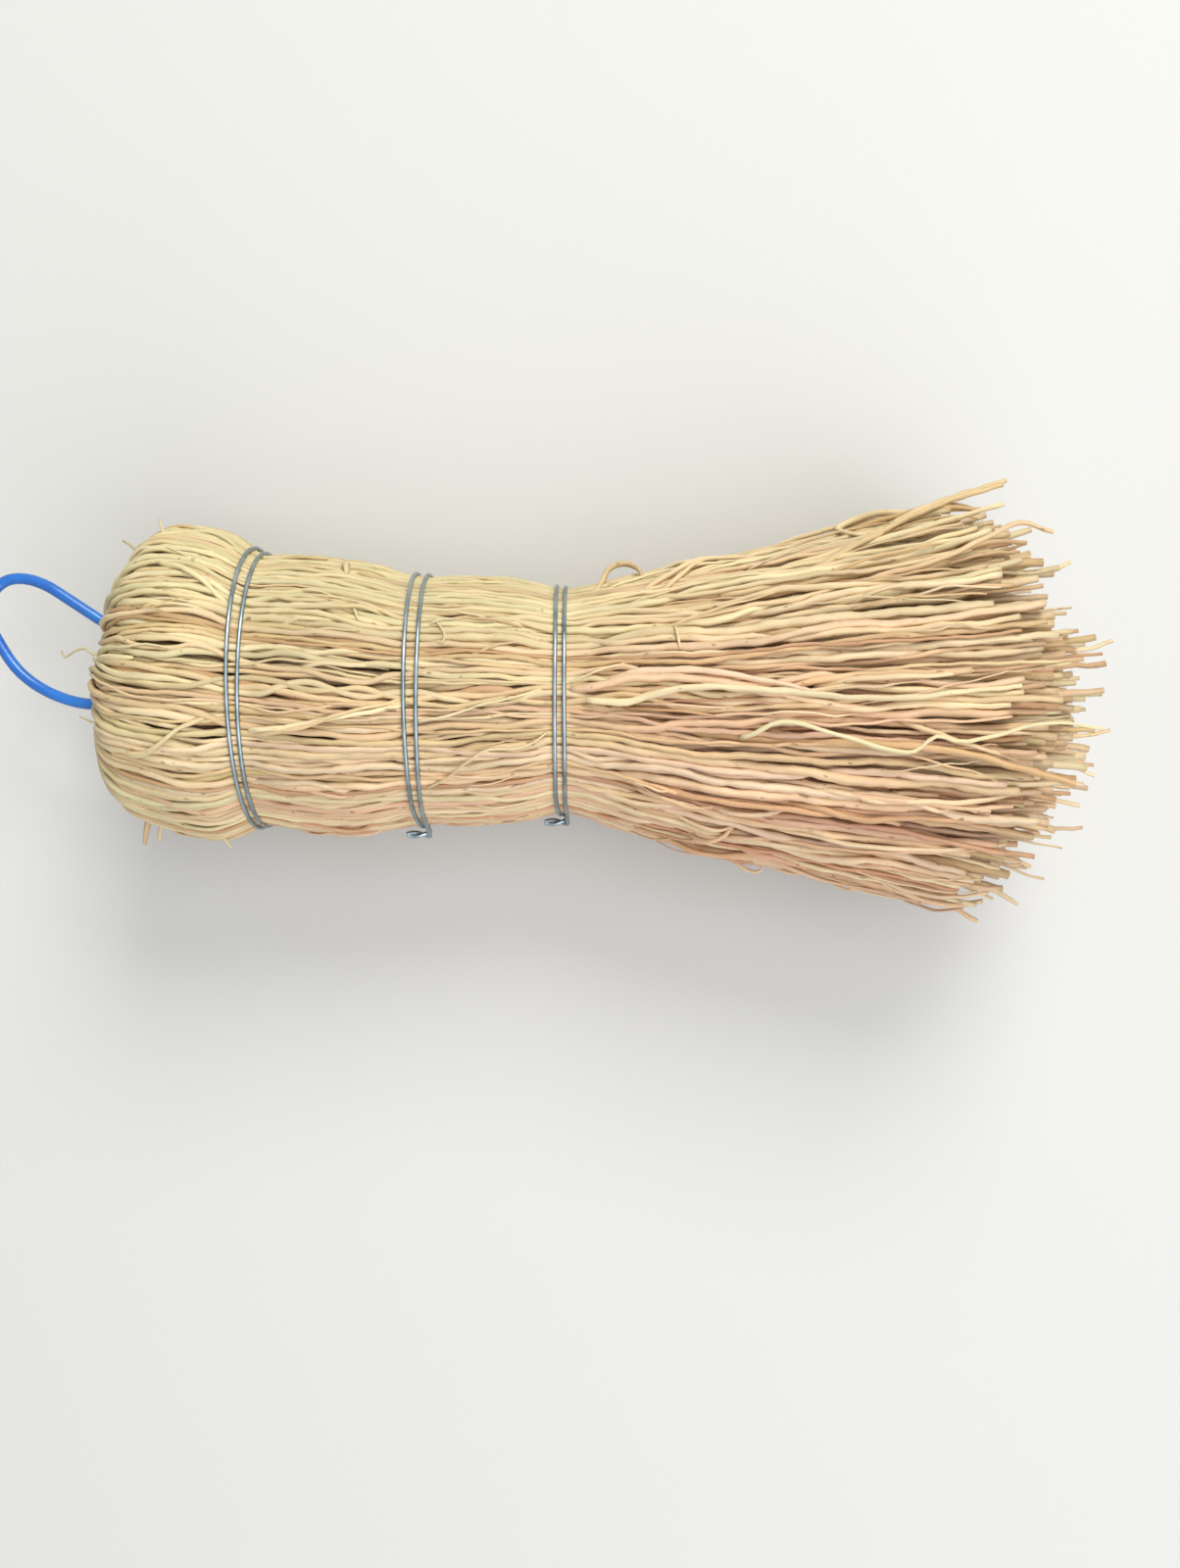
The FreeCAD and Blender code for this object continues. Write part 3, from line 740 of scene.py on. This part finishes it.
# Single roots that leave the bundle's order: "on" it, as (x, degrees round from the side, lift
# off the outline), or "in" the frame, as points, where they stand away from it. Their tone is
# 0.5 where none is given.
strays = {
    "diagonal": {"radius": 0.5, "on": [
        (27.5, 110, -0.6), (29.3, 108, 0.1), (35.2, 105, 0.3), (43.1, 100, 0.3), (51.0, 96, 0.1),
        (52.8, 95, -0.6),
    ]},
    "crossing": {"radius": 0.42, "tone": 0.2, "on": [
        (27.2, 112, -0.8), (35.1, 106, 0.8), (43.1, 99, 0.6), (51.5, 93, -0.2), (53.0, 92, -0.8),
    ]},
    "hair": {"radius": 0.24, "tone": 0.45, "on": [
        (55.4, 136, -0.3), (58.8, 128.5, 0.5), (63.0, 119, 0.9), (66.4, 114, 0.6), (70.4, 114, 0.6),
        (73.7, 111.5, 0.5), (75.7, 108, 0.1),
    ]},
    "lowLoop": {"radius": 0.38, "in": [
        (19.0, -23.2, 27.0), (23.7, -25.9, 27.0), (26.7, -28.1, 27.2), (28.8, -28.9, 27.4),
        (30.2, -28.2, 27.6), (29.0, -26.6, 27.6),
    ]},
    "longHair": {"radius": 0.24, "on": [
        (54.6, 102, -0.3), (56.5, 101, 0.4), (61.0, 98.5, 0.5), (65.1, 95, 0.5), (71.0, 91, 0.4),
        (76.0, 86.5, -0.4),
    ]},
    "longHairEnd": {"radius": 0.22, "on": [
        (79.5, 84, -0.3), (83.0, 80, 0.5), (86.5, 77, 0.3), (88.5, 75, -0.4),
    ]},
    "shredCurl": {"radius": 0.2, "on": [
        (56.6, 58, 0.3), (58.2, 57, 0.7), (59.6, 56, 0.5), (60.3, 55.5, 0.2),
    ]},
    "gripCurl": {"radius": 0.18, "on": [
        (57.4, 57, 0.4), (58.4, 61, 0.8), (59.2, 65, 0.7), (58.8, 68, 0.5), (58.0, 67, 0.3),
    ]},
    "whiteBit": {"radius": 0.25, "tone": 0.55, "on": [(44.2, 55, 0.1), (44.7, 57.5, 0.45), (45.1, 60, 0.1)]},
    "knot": {"radius": 0.62, "tone": 0.9, "shadeAndBarkAmount": 0.15, "on": [
        (41.2, 22, -0.3), (41.5, 27, 0.5), (41.9, 33, -0.3),
    ]},
    "arch": {"radius": 0.5, "tone": 0.7, "on": [
        (83.2, 27, -1.2), (84.6, 20, 0.2), (86.0, 10, 2.0), (88.7, 7, 2.6), (90.9, 11, 1.3),
        (91.8, 24, 0.0), (92.6, 30, -1.2),
    ]},
    "fork1": {"radius": 0.42, "tone": 0.3, "on": [
        (95.0, 37, -0.6), (97.3, 32, 0.2), (100.4, 24, 0.9), (103.6, 17, 0.3), (106.5, 14, -0.6),
    ]},
    "fork2": {"radius": 0.5, "tone": 0.6, "on": [
        (91.5, 36, -0.7), (94.3, 31, 0.3), (99.0, 25, 1.2), (102.9, 19, 0.8), (107.6, 19, 0.0),
        (111.0, 19, -0.7),
    ]},
    "shred": {"on": [(96.7, 61, 0.3), (96.9, 65, 0.6), (97.3, 70, 0.2)], "radius": 0.3},
    "broad": {"radius": 0.75, "tone": 0.6, "blush": 0.9, "on": [
        (79.8, 87, -0.6), (83.5, 86, 0.2), (90.4, 82, 0.5), (101.3, 83, 0.5), (112.0, 88, 0.4),
        (122.6, 92, 0.0), (127.0, 93, -0.8),
    ]},
    "broadTwin": {"radius": 0.65, "tone": 0.88, "blush": 0.9, "on": [
        (85.0, 84, -0.6), (91.4, 79.5, 0.2), (101.3, 79.5, 0.4), (111.0, 84, 0.3), (119.0, 88, -0.6),
    ]},
    "cut": {"radius": 0.6, "blush": 0.45, "on": [
        (82.4, 92, 0.9), (88.8, 92, 1.0), (98.2, 86, 1.3), (110.5, 87, 1.1), (128.6, 90, 0.8),
        (143.4, 88, 0.2), (150.0, 87, -0.8),
    ]},
    "pair1": {"radius": 0.68, "tone": 0.25, "on": [
        (108.0, 40, -3.0), (117.0, 37, -1.9), (124.0, 33, -0.6), (131.5, 27, 0.4), (139.2, 17, 1.0),
        (147.9, 7, 1.2), (155.6, 3, 1.6),
    ]},
    "pair2": {"radius": 0.6, "tone": 0.15, "on": [
        (105.0, 45, -3.0), (115.0, 42, -1.9), (122.0, 37, -0.6), (127.9, 32, 0.3), (136.7, 22, 0.8),
        (145.6, 11, 0.8), (154.6, 6, 0.9),
    ]},
    "hook": {"radius": 0.55, "tone": 0.75, "on": [
        (114.0, 52, -3.0), (124.0, 50, -1.8), (130.0, 49, -0.7), (139.4, 48, 0.3), (147.6, 44, 1.2),
        (150.7, 43, 1.8), (153.4, 43.5, 1.6), (157.0, 46.5, 0.6),
    ]},
    "topTip": {"radius": 0.64, "tone": 0.4, "on": [
        (110.0, 34, -2.0), (124.0, 31, -0.8), (134.0, 30, -0.2), (142.4, 29.5, 0.3), (147.0, 29, 0.4),
        (151.5, 28.5, 0.5),
    ]},
    "headFill1": {"radius": 0.6, "tone": 0.6, "shadeAndBarkAmount": 0.08, "on": [
        (7.5, 79.5, -1.1), (11.0, 79, -0.4), (15.0, 78.5, -0.2), (20.0, 78, -0.4), (23.6, 78, -1.0),
    ]},
    "headFill2": {"radius": 0.62, "tone": 0.45, "shadeAndBarkAmount": 0.08, "on": [
        (0.9, 88.5, -1.0), (2.5, 87.5, -0.4), (4.5, 87, -0.2), (7.0, 86.5, -0.4), (10.0, 86, -1.0),
    ]},
    "bentBack": {"radius": 0.62, "tone": 0.35, "on": [
        (143.0, 14, -0.8), (137.6, 13, 0.6), (132.5, 9, 1.6), (128.6, 7, 1.5), (126.2, 9, 0.8),
        (125.4, 14, 0.4), (127.1, 21, 0.2), (131.0, 25, -0.8),
    ]},
    "orange": {"radius": 0.78, "tone": 0.03, "blush": 0.55, "on": [
        (90.0, 102, -3.0), (103.0, 103, -2.0), (115.0, 104, -1.3), (124.0, 103.5, -0.3),
        (131.0, 103, 0.6), (140.7, 104, 0.9), (149.6, 107, 0.8), (158.2, 110, 0.4),
    ]},
    "light": {"radius": 0.4, "blush": 0.2, "on": [
        (107.0, 103, -0.3), (109.0, 101, 0.7), (113.1, 97, 1.5), (119.2, 99, 1.8), (129.4, 104, 1.8),
        (133.6, 104, 1.6), (136.9, 100, 1.5), (141.6, 101, 1.3), (153.6, 96, 0.8), (161.8, 97, 0.4),
    ]},
    "headCross": {"radius": 0.5, "tone": 0.4, "on": [
        (12.0, 46, -0.8), (14.2, 49.5, 0.1), (16.6, 51, 0.4), (19.8, 54, 0.45), (22.4, 57.5, 0.1),
        (24.0, 58.5, -0.6),
    ]},
    "headCross2": {"radius": 0.5, "tone": 0.3, "on": [
        (5.5, 126, -1.0), (8.5, 122, 0.0), (11.2, 119.5, 0.3), (14.3, 114, 0.4), (17.0, 109, 0.3),
        (20.5, 105, -0.3), (23.0, 103, -1.2),
    ]},
    "curl": {"radius": 0.25, "tone": 0.4, "in": [
        (-81.5, 10.3, 31.0), (-85.9, 8.9, 32.0), (-87.5, 10.1, 31.6), (-89.9, 9.7, 30.6),
        (-92.1, 8.7, 29.4), (-92.9, 9.9, 28.6),
    ]},
    "whisker1": {"radius": 0.3, "tone": 0.55, "in": [
        (-70.5, 24.5, 41.6), (-71.3, 26.3, 40.4), (-72.7, 29.1, 36.8), (-74.0, 32.0, 34.4),
    ]},
    "whisker2": {"radius": 0.32, "tone": 0.9, "in": [
        (-72.9, 22.9, 42.4), (-74.9, 25.2, 41.0), (-78.5, 27.3, 36.8), (-79.8, 28.1, 35.6),
    ]},
    "whisker3": {"radius": 0.28, "in": [(-81.3, -3.1, 33.6), (-86.5, -2.6, 31.8), (-88.7, -1.7, 31.4)]},
    "stub1": {"radius": 0.55, "tone": 0.95, "in": [
        (-77.5, -18.1, 27.5), (-78.5, -21.3, 26.6), (-79.1, -24.1, 25.8),
    ]},
    "stub2": {"radius": 0.42, "tone": 0.9, "in": [
        (-75.3, -18.7, 27.0), (-76.3, -21.9, 26.4), (-76.5, -23.7, 25.6),
    ]},
    "stub3": {"radius": 0.36, "in": [(-65.9, -20.3, 32.0), (-64.3, -22.5, 29.6), (-63.1, -24.5, 28.6)]},
    "tip1": {"radius": 0.5, "tone": 0.4, "in": [
        (60.0, 20.0, 33.0), (73.9, 22.3, 34.0), (79.0, 23.2, 34.5), (82.1, 24.7, 34.5),
    ]},
    "tip2": {"radius": 0.52, "tone": 0.55, "in": [
        (68.0, 8.0, 31.0), (81.6, 9.7, 31.0), (87.0, 10.2, 30.5), (91.0, 11.6, 30.0),
    ]},
    "tip3": {"radius": 0.5, "tone": 0.25, "in": [
        (68.0, -6.0, 30.0), (81.6, -4.9, 30.0), (86.5, -5.0, 30.0), (90.5, -4.0, 30.5),
    ]},
    "tip4": {"radius": 0.55, "in": [
        (66.0, -8.6, 29.0), (79.9, -10.0, 29.0), (84.8, -10.4, 28.5), (88.6, -12.0, 28.0),
    ]},
    "tip5": {"radius": 0.55, "tone": 0.85, "in": [
        (63.0, -13.5, 30.0), (76.5, -16.0, 30.0), (81.0, -16.3, 30.0), (85.3, -17.2, 30.0),
    ]},
    "tip6": {"radius": 0.56, "tone": 0.3, "in": [
        (60.0, -17.3, 30.0), (73.0, -19.4, 30.0), (77.0, -20.3, 30.0), (80.9, -21.8, 30.0),
    ]},
    "tip7": {"radius": 0.52, "tone": 0.6, "in": [
        (56.0, -22.4, 29.0), (68.8, -25.0, 29.0), (73.0, -26.2, 29.0), (77.0, -27.9, 29.0),
    ]},
    "tip8": {"radius": 0.55, "tone": 0.45, "in": [
        (54.0, -27.3, 28.0), (66.2, -30.5, 28.0), (71.0, -32.2, 28.0), (75.1, -34.6, 28.0),
    ]},
    "tip9": {"radius": 0.62, "tone": 0.2, "in": [
        (48.0, -30.0, 28.0), (60.2, -33.9, 28.0), (64.0, -35.4, 28.0), (67.9, -37.5, 28.0),
    ]},
}
# fine hairs and whole roots that lie across the others, between the bands: from, to, how many,
# highest lift, thinnest and thickest radius, and longest
crossings = {
    "turn": 7.0,
    "zones": [
        (3, 22, 14, 0.4, 0.14, 0.28, 16),
        (28, 50, 16, 0.4, 0.14, 0.28, 20),
        (56.5, 74.5, 14, 0.4, 0.14, 0.28, 16),
        (81, 148, 60, 0.9, 0.14, 0.28, 34),
        (28, 50, 8, 0.5, 0.35, 0.5, 22),
        (82, 150, 34, 1.0, 0.38, 0.6, 62),
    ],
}
for start, end, count, lift, thinnest, thickest, longest in crossings["zones"]:
    for k in range(count):
        x = dice.uniform(start, end - 10)
        length = min(dice.uniform(8, longest), end - x)
        angle, drift = dice.uniform(-50, 230), dice.normal(0, crossings["turn"])
        points = []
        for t in np.linspace(0, 1, 6):
            rise = max(math.sin(math.pi * t), 0)
            high = lift * dice.uniform(0.5, 1) * rise**0.5 - max(3.5 * thickest, 0.8) * (1 - rise)
            points.append((x + length * t, angle + drift * t + dice.normal(0, 0.02) * length, high))
        crossing = {"on": points, "radius": dice.uniform(thinnest, thickest), "tone": dice.random()}
        strays[f"crossing{start}-{thickest}-{k}"] = crossing
straySpacing = 1.2
strayTubes = []
for stray in strays.values():
    points = stray.get("in", [])
    for x, degrees, lift in stray.get("on", []):
        around = math.radians(degrees)
        reach = rimAt(x) + lift
        share = np.interp(x, outlineX[lipEnd:], heightShare[lipEnd:])
        y, z = axisAt(x)
        y, z = y + reach * math.cos(around), z + reach * math.sin(around) * share
        points.append((x + bundle["faceX"], y, z))
    line = curveThrough(points, straySpacing)
    along = np.arange(len(line)) * straySpacing
    swell = 1 + waves(1, [(2.5, 4, 0.05), (5, 11, 0.07), (14, 30, 0.08)], along)[0]
    swell *= 1 - 0.35 * np.linspace(0, 1, len(line)) ** 2  # thinner towards its tip
    line[1:-1] += waves(3, [(4, 8, 0.06), (8, 14, 0.06)], along).T[1:-1]
    blushHere = stray.get("blush", np.clip(blushAt(line), 0, 0.8))
    shadeAndBarkHere = stray.get("shadeAndBarkAmount", 0.0)
    sides = 8 if stray["radius"] > 0.3 else 5
    toneHere = stray.get("tone", 0.5)
    strayTubes.append((line, stray["radius"] * swell, sides, toneHere, blushHere, shadeAndBarkHere))
buildPiece("strayRoots", strayTubes, rootSkin)
print("stray roots laid:", len(strays))

# The core: the pressed roots that show only as brown shade between the outer ones
core = {"depth": 4.4, "ridges": 60, "ridgeHeight": 0.35, "endX": 106.0, "bottom": 2.4}
ringCount = core["ridges"] * 4
turn = np.arange(ringCount) * 2 * np.pi / ringCount
rows = []
for s in range(lipEnd, stations):
    if outlineX[s] > core["endX"] or radiusAt[s] < 12:
        continue
    depth = core["depth"] + 10 * max(0, (outlineX[s] - 80) / 26) ** 1.5
    ridges = core["ridgeHeight"] * np.cos(turn * core["ridges"] + 0.5 * math.sin(s * 0.7))
    reach = radiusAt[s] - outR[s] * depth + ridges
    y = reach * np.cos(turn) + axisY[s]
    z = np.maximum(reach * np.sin(turn) * heightShare[s] + axisZ[s], core["bottom"])
    x = leanedX(np.full(ringCount, s), np.cos(turn)) - outX[s] * depth + bundle["faceX"]
    rows.append(np.stack([x, y, z], axis=1))
corePoints = np.vstack(rows + [rows[0].mean(axis=0)[None], rows[-1].mean(axis=0)[None]])
coreFaces = []
last = (len(rows) - 1) * ringCount
for a in range(ringCount):
    b = (a + 1) % ringCount
    for k in range(0, last, ringCount):
        coreFaces.append((k + a, k + b, k + ringCount + b, k + ringCount + a))
    coreFaces += [(len(corePoints) - 2, b, a), (len(corePoints) - 1, last + a, last + b)]
coreMesh = bpy.data.meshes.new("pressedCore")
coreMesh.from_pydata((corePoints * mm).tolist(), [], coreFaces)
coreMesh.polygons.foreach_set("use_smooth", np.ones(len(coreMesh.polygons), bool))
ringIndex = np.concatenate([np.tile(np.arange(ringCount), len(rows)), [0, 0]])
coreCoords = np.stack([corePoints[:, 0], ringIndex * 3.1, ringIndex * 0.0], axis=1)
addAttribute(coreMesh, "rootTone", (np.floor(ringIndex / 4) * 0.381) % 1)
addAttribute(coreMesh, "rootBlush", np.full(len(corePoints), 0.7))
# painted shade: the core is mixed far towards dark brown, standing for the shade between the outer roots
addAttribute(coreMesh, "rootShadeAndBark", np.full(len(corePoints), 0.8))
addAttribute(coreMesh, "rootCoord", coreCoords)
coreMesh.materials.append(rootSkin)
corePiece = addObject("pressedCore", coreMesh)
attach(corePiece, "root")
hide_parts("packed_roots")

# Drawn steel wire, hot-dip galvanised: blue-grey zinc, dark where it dulled, with a sharp streak
wire = {
    "radius": 0.36,
    "seat": 0.02,
    "twistLength": 4.2,
    "twistTurns": 0.7,
    "knotSpread": 1.3,
    "bands": {
        "head": {"x": bundle["bandsX"][0], "spacing": 1.65, "knot": 222, "tail": 1},
        "middle": {"x": bundle["bandsX"][1], "spacing": 2.35, "knot": 178, "tail": -1},
        "neck": {"x": bundle["bandsX"][2], "spacing": 1.75, "knot": 181, "tail": -1},
    },
}
wireSteel, tree, shader = newMaterial("galvanisedSteelWire", Metallic=1.0, Roughness=0.3)
where = addNode(tree, "ShaderNodeTexCoord")
spangle = addNode(tree, "ShaderNodeTexNoise", {"Vector": where.outputs["Object"]}, Scale=280.0, Detail=2.0)
zinc = addNode(tree, "ShaderNodeValToRGB", {"Fac": spangle.outputs["Fac"]})
setRamp(zinc, [(0.3, "#75848a"), (0.7, "#a4b2b8")])
tree.links.new(zinc.outputs["Color"], shader.inputs["Base Color"])
worn = addNode(tree, "ShaderNodeMapRange", {"Value": spangle.outputs["Fac"]}, To_Min=0.22, To_Max=0.36)
tree.links.new(worn.outputs["Result"], shader.inputs["Roughness"])


def wireLine(band):
    # twice round the bundle, then both ends twisted together and laid flat
    knot = math.radians(band["knot"])
    line = []
    for k in np.arange(0.05, 1.95, 1 / 120):
        turn = 2 * math.pi * k
        spread = wire["knotSpread"] + (band["spacing"] - wire["knotSpread"]) * (1 - math.cos(turn)) / 2
        side = max(-1, min(1, (turn - 2 * math.pi) / math.radians(30)))
        x = band["x"] + side * spread / 2 + 0.12 * math.sin(turn * 1.5 + band["x"])
        width = [x - wire["radius"], x, x + wire["radius"]]
        reach = rimAt(width).max() + wire["radius"] + wire["seat"]
        y, z = axisAt(x)
        line.append((x, y + reach * math.cos(knot + turn), z + reach * math.sin(knot + turn)))
    y, z = axisAt(band["x"])
    out = np.array([0, math.cos(knot), math.sin(knot)])
    lean = np.array([band["tail"], 0, 0])
    sideways = np.cross(lean, out)
    rise = float(rimAt(band["x"])) + 4 * wire["radius"] + 0.3
    root = np.array([band["x"], y, z]) + out * rise - lean * wire["knotSpread"]
    ends = []
    for phase in (-math.pi / 2, math.pi / 2):
        strand = []
        for t in np.linspace(0, 1, 40):
            a = phase + 2 * math.pi * wire["twistTurns"] * t
            ring = (sideways * math.cos(a) + out * math.sin(a)) * 1.06 * wire["radius"]
            strand.append(root + lean * wire["twistLength"] * t + ring + sideways * 0.6 * t**2)
        ends.append(strand)
    full = np.array(ends[0][::-1] + line + ends[1])
    full[:, 0] += bundle["faceX"]
    return smooth(full, 4)


for name, band in wire["bands"].items():
    turns = [(wireLine(band), wire["radius"], 10, 0.5, 0.0, 0.0)]
    piece = buildPiece(f"wireBand{name.capitalize()}", turns, wireSteel)
    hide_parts(f"wire_band_{name}")
print("wire bands wound")

# Extruded soft plastic, glossy and deep blue, a little cloudy
bluePlastic, tree, shader = newMaterial("blueExtrudedPlastic", Roughness=0.22, IOR=1.5, Coat_Weight=0.3)
where = addNode(tree, "ShaderNodeTexCoord")
cloudy = addNode(tree, "ShaderNodeTexNoise", {"Vector": where.outputs["Object"]}, Scale=160.0, Detail=2.0)
blue = addNode(tree, "ShaderNodeValToRGB", {"Fac": cloudy.outputs["Fac"]})
setRamp(blue, [(0.3, "#0a5cb8"), (0.7, "#1b7cd8")])
tree.links.new(blue.outputs["Color"], shader.inputs["Base Color"])
loopCurve.materials.append(bluePlastic)


def seenRays(tree):
    # 1 for what the camera sees, straight or mirrored in metal
    path = addNode(tree, "ShaderNodeLightPath")
    mirrors = {0: path.outputs["Is Glossy Ray"], 1: path.outputs["Is Transmission Ray"]}
    mirrored = addNode(tree, "ShaderNodeMath", mirrors, operation="MAXIMUM")
    seen = {0: path.outputs["Is Camera Ray"], 1: mirrored.outputs["Value"]}
    return addNode(tree, "ShaderNodeMath", seen, operation="MAXIMUM").outputs["Value"]


# Pale floor and soft studio light, the main light from the far side as in the photograph. These
# lengths are metres.
studio = {
    "floor": "#d6d6d3",
    "floorSize": 3.0,
    "fade": (0.4, 1.1),
    "world": "#eef1f5",
    "worldStrength": 0.3,
    "lampAim": (0, 0, 0.02),
}
floorMesh = bpy.data.meshes.new("floor")
half = studio["floorSize"] / 2
corners = [(-half, -half, 0), (half, -half, 0), (half, half, 0), (-half, half, 0)]
floorMesh.from_pydata(corners, [], [(0, 1, 2, 3)])
floorPiece = addObject("floor", floorMesh)
floorPaper, tree, shader = newMaterial("palePaperFloor", Roughness=0.9)
shader.inputs["Base Color"].default_value = hexColor(studio["floor"])
# far from the object the camera sees the floor fade into the background
where = addNode(tree, "ShaderNodeTexCoord")
away = addNode(tree, "ShaderNodeVectorMath", {"Vector": where.outputs["Object"]}, operation="LENGTH")
fade = addNode(
    tree,
    "ShaderNodeMapRange",
    {"Value": away.outputs["Value"]},
    interpolation_type="SMOOTHSTEP",
    From_Min=studio["fade"][0],
    From_Max=studio["fade"][1],
)
factors = {0: fade.outputs["Result"], 1: seenRays(tree)}
share = addNode(tree, "ShaderNodeMath", factors, operation="MULTIPLY")
distant = addNode(tree, "ShaderNodeEmission", Color=hexColor(studio["world"]), Strength=1.0)
sides = {0: share.outputs["Value"], 1: shader.outputs["BSDF"], 2: distant.outputs["Emission"]}
paper = addNode(tree, "ShaderNodeMixShader", sides)
tree.links.new(paper.outputs["Shader"], tree.nodes["Material Output"].inputs["Surface"])
floorMesh.materials.append(floorPaper)

lights = {
    "window": {"place": (0.2, 0.75, 0.75), "size": 0.5, "power": 7.5, "color": "#fffdf6"},
    "fill": {"place": (0.35, -0.65, 0.7), "size": 0.9, "power": 5.2, "color": "#f6f8ff"},
    "top": {"place": (0.25, 0.0, 1.0), "size": 0.8, "power": 4.6, "color": "#fffefc"},
}
for name, lamp in lights.items():
    data = bpy.data.lights.new(name, "AREA")
    data.shape = "SQUARE"
    data.size = lamp["size"]
    data.energy = lamp["power"]
    data.color = hexColor(lamp["color"])[:3]
    light = addObject(name, data)
    light.location = lamp["place"]
    toBrush = Vector(studio["lampAim"]) - Vector(lamp["place"])
    light.rotation_euler = toBrush.to_track_quat("-Z", "Y").to_euler()
world = bpy.data.worlds.new("studio")
bpy.context.scene.world = world
world.use_nodes = True
lit = world.node_tree.nodes["Background"]
lit.inputs["Color"].default_value = hexColor(studio["world"])
lit.inputs["Strength"].default_value = studio["worldStrength"]
# the camera sees a pale background, the object is lit by a dimmer one
seen = addNode(world.node_tree, "ShaderNodeBackground", Color=hexColor(studio["world"]), Strength=1.0)
sides = {0: seenRays(world.node_tree), 1: lit.outputs["Background"], 2: seen.outputs["Background"]}
either = addNode(world.node_tree, "ShaderNodeMixShader", sides)
world.node_tree.links.new(either.outputs["Shader"], world.node_tree.nodes["World Output"].inputs["Surface"])
bpy.context.scene.view_settings.view_transform = "Standard"

triangles = sum(len(p.vertices) - 2 for mesh in bpy.data.meshes for p in mesh.polygons)
print("triangles", triangles)
